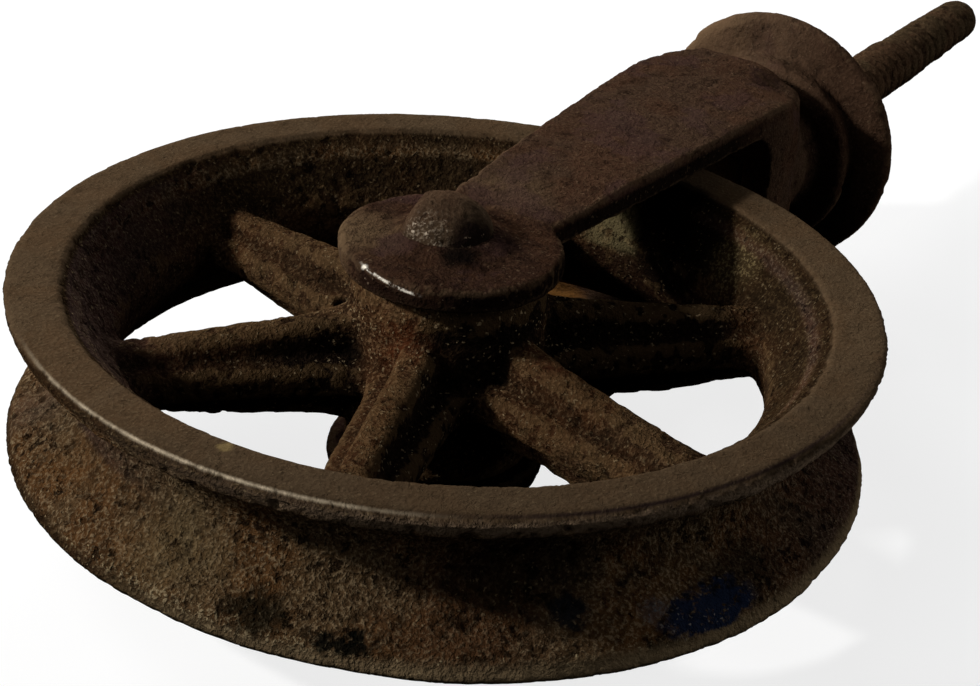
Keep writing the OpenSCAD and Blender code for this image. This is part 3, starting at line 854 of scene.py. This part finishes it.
def yoke_iron():
    finish = Finish("yoke_iron")
    tree = finish.tree
    parts = add(tree, "SeparateXYZ", {0: finish.where}).outputs
    along = parts["X"]
    radius = wheel_place(finish)[2]
    colour = finish.tone(Dull=tone(62, 46, 35), Warm=tone(64, 44, 32), Dark=tone(32, 21, 15),
                         Dust=tone(88, 68, 50), Dust_Share=0.35, Pit_Share=0.6)
    red_brown = finish.tone(Dull=tone(50, 33, 24), Warm=tone(53, 34, 23), Dark=tone(20, 12, 8),
                            Dust=tone(84, 62, 46), Dust_Share=0.35, Pit_Share=0.6)
    colour = finish.over(finish.times(between(tree, along, -112 * MM, -124 * MM), 0.85), colour, red_brown)
    for centre, size, share in (((-144.0, 15.5, 21.5), 13.0, 0.85), ((-112.0, 4.0, 23.0), 12.0, 0.4)):
        paler = finish.stain(centre, size, core=0.2, reach=8.0)
        colour = finish.over(finish.times(paler, share), colour, tone(90, 72, 52))
    mottle = between(tree, cloud(tree, finish.where, 340.0, 4.0, 0.72, 0.4), 0.46, 0.58)
    mottle = finish.times(mottle, between(tree, along, -96 * MM, -118 * MM), 0.5)
    colour = finish.over(mottle, colour, tone(36, 23, 18))
    purple = between(tree, cloud(tree, finish.where, 75.0, 3.0, 0.6), 0.5, 0.6)
    colour = finish.over(finish.times(purple, 0.4), colour, tone(62, 44, 42))
    grey = finish.tone(Dull=tone(84, 64, 48), Warm=tone(76, 56, 44), Dark=tone(36, 26, 20),
                       Dust=tone(96, 78, 62), Dust_Share=0.3, Pit_Share=0.4)
    colour = finish.over(between(tree, along, -20 * MM, -12 * MM), colour, grey)
    flange = between(tree, along, -16 * MM, -9 * MM)
    # Painted light and shade: the flange is paler on the side towards the main light and a darker red-brown on the
    # side away from it
    painted_lit_side = finish.times(flange, between(tree, parts["Y"], 4 * MM, 20 * MM))
    colour = finish.over(finish.times(painted_lit_side, 0.6), colour, tone(102, 80, 58))
    painted_shaded_side = finish.times(flange, between(tree, parts["Y"], 3 * MM, -14 * MM))
    colour = finish.over(finish.times(painted_shaded_side, 0.7), colour, red_brown)

    # Old grease lies round the head, deepened as painted shadow below its rim; the lower arm has a painted shadow
    # and a painted lit patch on ochre rust, and the arm's side turned away from the main light is darkened as
    # painted shade
    for centre, size, share, shade in (
        ((-140.3, -4.8, 22.6), 5.0, 0.9, tone(11, 9, 8)), ((-130.5, -7.0, 22.3), 5.0, 0.6, tone(20, 13, 14)),
        # On the lower arm: painted shadow, and ochre rust brightened as painted light
        ((-62.0, -1.0, -17.6), 11.0, 0.92, tone(9, 7, 6)), ((-69.5, 13.5, -17.6), 6.5, 0.8, tone(112, 76, 36)),
    ):
        mask = finish.stain(centre, size, core=0.35, reach=4.0, raggedness=320.0)
        colour = finish.over(finish.times(mask, share), colour, shade)
    right = between(tree, parts["Y"], -4 * MM, -12 * MM)
    shaded = finish.times(right, between(tree, along, -34 * MM, -60 * MM),
                          between(tree, parts["Z"], 22.2 * MM, 20.9 * MM))
    colour = finish.over(finish.times(shaded, 0.88), colour, tone(12, 8, 6))

    colour = finish.over(finish.wear(0.25), colour, tone(104, 84, 62))
    lip_height = maths(tree, "MULTIPLY_ADD", parts["Y"], 0.1, 21.1 * MM)
    below = between(tree, maths(tree, "SUBTRACT", lip_height, parts["Z"]), 0.15 * MM, 0.7 * MM)
    # Painted shade: the ear's side just below its edge is darkened at the front
    shaded_ear_side = finish.times(between(tree, radius, 18.4 * MM, 19.1 * MM), below,
                             between(tree, parts["Y"], 9 * MM, 5 * MM),
                             between(tree, along, -122 * MM, -132 * MM))
    colour = finish.over(finish.times(shaded_ear_side, 0.65), colour, tone(24, 15, 11))
    line = use(
        tree, HOOP, Vector=finish.where, Width=0.4 * MM, Toward=heading(178),
        Radius=maths(tree, "MULTIPLY_ADD", parts["Y"], -0.07, 19.2 * MM),
        Height=lip_height,
        Fades=math.cos(math.radians(22)),
    )["Mask"]
    broken = between(tree, cloud(tree, finish.where, 420.0, 3.0, 0.7), 0.42, 0.54)
    bright = finish.times(maths(tree, "MULTIPLY", line, 1.8, clamp=True), broken)
    bright = maths(tree, "MAXIMUM", bright, finish.stain((-152.9, 5.9, 21.6), 0.8, core=0.2, reach=1.2))
    crumbs = finish.times(finish.hoop(19.6, 20.2, 1.2, -160, 60), finish.grain["Specks"], 0.9)
    colour = finish.over(crumbs, colour, tone(120, 104, 88))
    colour = finish.over(bright, colour, tone(206, 198, 184))
    colour = finish.over(finish.times(finish.grain["Specks"], 0.2), colour, tone(130, 108, 84))
    colour = finish.over(finish.times(finish.sunk, 0.5), colour, tone(13, 9, 7))
    roughness = maths(tree, "MULTIPLY_ADD", finish.grain["Blotches"], 0.25, 0.62)
    roughness = maths(tree, "MULTIPLY_ADD", bright, -0.3, roughness)
    depth = maths(tree, "MULTIPLY_ADD", between(tree, along, -20 * MM, -12 * MM), -0.25, 0.55)
    return finish.close(colour, roughness, depth, finish.times(bright, 0.6))


def rivet_steel():
    finish = Finish("rivet_steel")
    tree = finish.tree
    colour = finish.tone(Dull=tone(64, 51, 38), Warm=tone(66, 49, 36), Dark=tone(22, 15, 12),
                         Dust=tone(92, 76, 58), Dust_Share=0.3, Pit_Share=0.45)
    # Grease round the foot of the head, deepened as painted shadow under its rim on the side away from the light
    grease_and_shadow = finish.stain((-136.6, -6.2, 23.2), 6.8, core=0.5, reach=3.5, raggedness=320.0)
    colour = finish.over(finish.times(grease_and_shadow, 0.88), colour, tone(13, 8, 9))
    colour = finish.over(finish.times(grease_and_shadow, finish.grain["Specks"], 0.6), colour, tone(134, 116, 98))
    # Bright flecks on the head's side towards the light, partly rubbed metal and partly painted highlights
    rubbed = finish.stain((-141.5, 2.0, 25.2), 6.0, core=0.1, reach=4.0, raggedness=500.0)
    flecks_and_glints = maths(tree, "MAXIMUM", finish.grain["Specks"], finish.times(finish.grain["Crests"], 0.3))
    colour = finish.over(finish.times(rubbed, flecks_and_glints, 0.95), colour, tone(176, 160, 140))
    colour = finish.over(finish.times(finish.sunk, 0.5), colour, tone(12, 9, 8))
    roughness = maths(tree, "MULTIPLY_ADD", finish.grain["Blotches"], 0.35, 0.4)
    return finish.close(colour, roughness, 0.35)


def screw_steel():
    finish = Finish("screw_steel")
    tree = finish.tree
    height = add(tree, "SeparateXYZ", {0: finish.where}).outputs["Z"]
    colour = finish.tone(Dull=tone(66, 53, 37), Warm=tone(71, 52, 37), Dark=tone(24, 16, 12),
                         Dust=tone(100, 82, 60), Dust_Share=0.35, Pit_Share=0.6)
    colour = finish.over(finish.wear(0.3), colour, tone(96, 78, 56))
    # Painted shade: the screw is darker on its underside
    colour = finish.over(finish.times(between(tree, height, 1 * MM, -4 * MM), 0.55), colour, tone(24, 16, 11))
    colour = finish.over(finish.times(finish.sunk, 0.7), colour, tone(14, 10, 8))
    roughness = maths(tree, "MULTIPLY_ADD", finish.grain["Blotches"], 0.3, 0.6)
    return finish.close(colour, roughness, 0.5)


new_piece("sheave_casting", sheave_mesh(), "wheel", ["sheave"], sheave_iron())
new_piece("yoke_casting", yoke_mesh(), "mounting", ["yoke"], yoke_iron())
new_piece("axle_rivet_hammered", rivet_mesh(), "mounting", ["axle_rivet"], rivet_steel())
new_piece("lag_screw_threaded", screw_mesh(), "mounting", ["lag_screw"], screw_steel())


# The studio


def floor():
    """A pale floor that the camera sees as white, with the pulley's own soft shadow."""
    shape = bmesh.new()
    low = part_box("yoke")[0].z
    bmesh.ops.create_grid(shape, x_segments=1, y_segments=1, size=6.0,
                          matrix=Matrix.Translation((-70 * MM, 0, low)))
    mesh = bpy.data.meshes.new("floor")
    shape.to_mesh(mesh)
    shape.free()
    material = bpy.data.materials.new("pale_floor")
    material.use_nodes = True
    tree = material.node_tree
    tree.nodes.remove(tree.nodes["Principled BSDF"])
    plain = add(tree, "BsdfDiffuse", {"Color": (0.03, 0.03, 0.03, 1)})
    pale = add(tree, "BsdfDiffuse", {"Color": (0.24, 0.24, 0.24, 1)})
    glow = add(tree, "Emission", {"Color": (1, 1, 1, 1), "Strength": 0.79})
    both = add(tree, "AddShader", {0: pale.outputs[0], 1: glow.outputs[0]})
    path = add(tree, "LightPath").outputs
    seen = maths(tree, "MAXIMUM", path["Is Camera Ray"], path["Is Glossy Ray"])
    seen = maths(tree, "MAXIMUM", seen, path["Is Transmission Ray"])
    chosen = add(tree, "MixShader", {0: seen, 1: plain.outputs[0], 2: both.outputs[0]})
    plug(tree, chosen.outputs[0], tree.nodes["Material Output"].inputs["Surface"])
    made = bpy.data.objects.new("floor", mesh)
    mesh.materials.append(material)
    bpy.context.scene.collection.objects.link(made)


def lamp(name, heading, height, distance, size, level, colour=(1, 1, 1)):
    """A square lamp at a heading and a height in degrees; at level 1 it lights white paper to white."""
    data = bpy.data.lights.new(name, "AREA")
    data.size = size
    data.energy = level * math.pi ** 2 * distance ** 2
    data.color = colour
    made = bpy.data.objects.new(name, data)
    turn = math.radians(heading)
    rise = math.radians(height)
    toward = Vector((math.cos(turn) * math.cos(rise), math.sin(turn) * math.cos(rise), math.sin(rise)))
    turned = toward.to_track_quat("Z", "Y").to_matrix().to_4x4()
    made.matrix_world = Matrix.Translation(Vector((-100 * MM, 0, 0)) + toward * distance) @ turned
    bpy.context.scene.collection.objects.link(made)


def world():
    made = bpy.data.worlds.new("studio")
    bpy.context.scene.world = made
    made.use_nodes = True
    tree = made.node_tree
    back = tree.nodes["Background"]
    path = add(tree, "LightPath").outputs
    seen = maths(tree, "MAXIMUM", path["Is Camera Ray"], path["Is Glossy Ray"])
    seen = maths(tree, "MAXIMUM", seen, path["Is Transmission Ray"])
    level = maths(tree, "MULTIPLY_ADD", seen, 0.993, 0.007)
    plug(tree, level, back.inputs["Strength"])
    back.inputs["Color"].default_value = (1, 1, 1, 1)


def camera():
    """The photograph's view: from the wheel's side, well above it, and a little tilted."""
    azimuth = math.radians(-59.29)
    elevation = math.radians(28.235)
    roll = math.radians(5.025)
    back = Vector((
        math.sin(azimuth) * math.cos(elevation), -math.cos(azimuth) * math.cos(elevation),
        math.sin(elevation),
    ))
    level = Vector((math.cos(azimuth), math.sin(azimuth), 0))
    up = back.cross(level)
    right = math.cos(roll) * level + math.sin(roll) * up
    top = -math.sin(roll) * level + math.cos(roll) * up
    place = AXLE + RIM_R * (0.1054 * right + 0.0214 * top + 4.8034 * back)
    data = bpy.data.cameras.new("camera")
    data.sensor_fit = "HORIZONTAL"
    data.sensor_width = 36.0
    data.lens = 75.75
    data.clip_start = 0.01
    made = bpy.data.objects.new("camera", data)
    turned = Matrix((right, top, back)).transposed().to_4x4()
    made.matrix_world = Matrix.Translation(place) @ turned
    bpy.context.scene.collection.objects.link(made)
    bpy.context.scene.camera = made


floor()
world()
camera()
lamp("key", 135, 31, 1.3, 0.09, 0.9, (1.0, 0.99, 0.97))
lamp("side", 92, 34, 1.4, 0.6, 0.31)
lamp("back", 36, 12, 1.5, 0.6, 1.3)
lamp("left", 165, 27, 1.4, 0.5, 0.12)
lamp("fill", 308, 18, 1.4, 0.9, 0.3)
bpy.context.scene.view_settings.view_transform = "Standard"
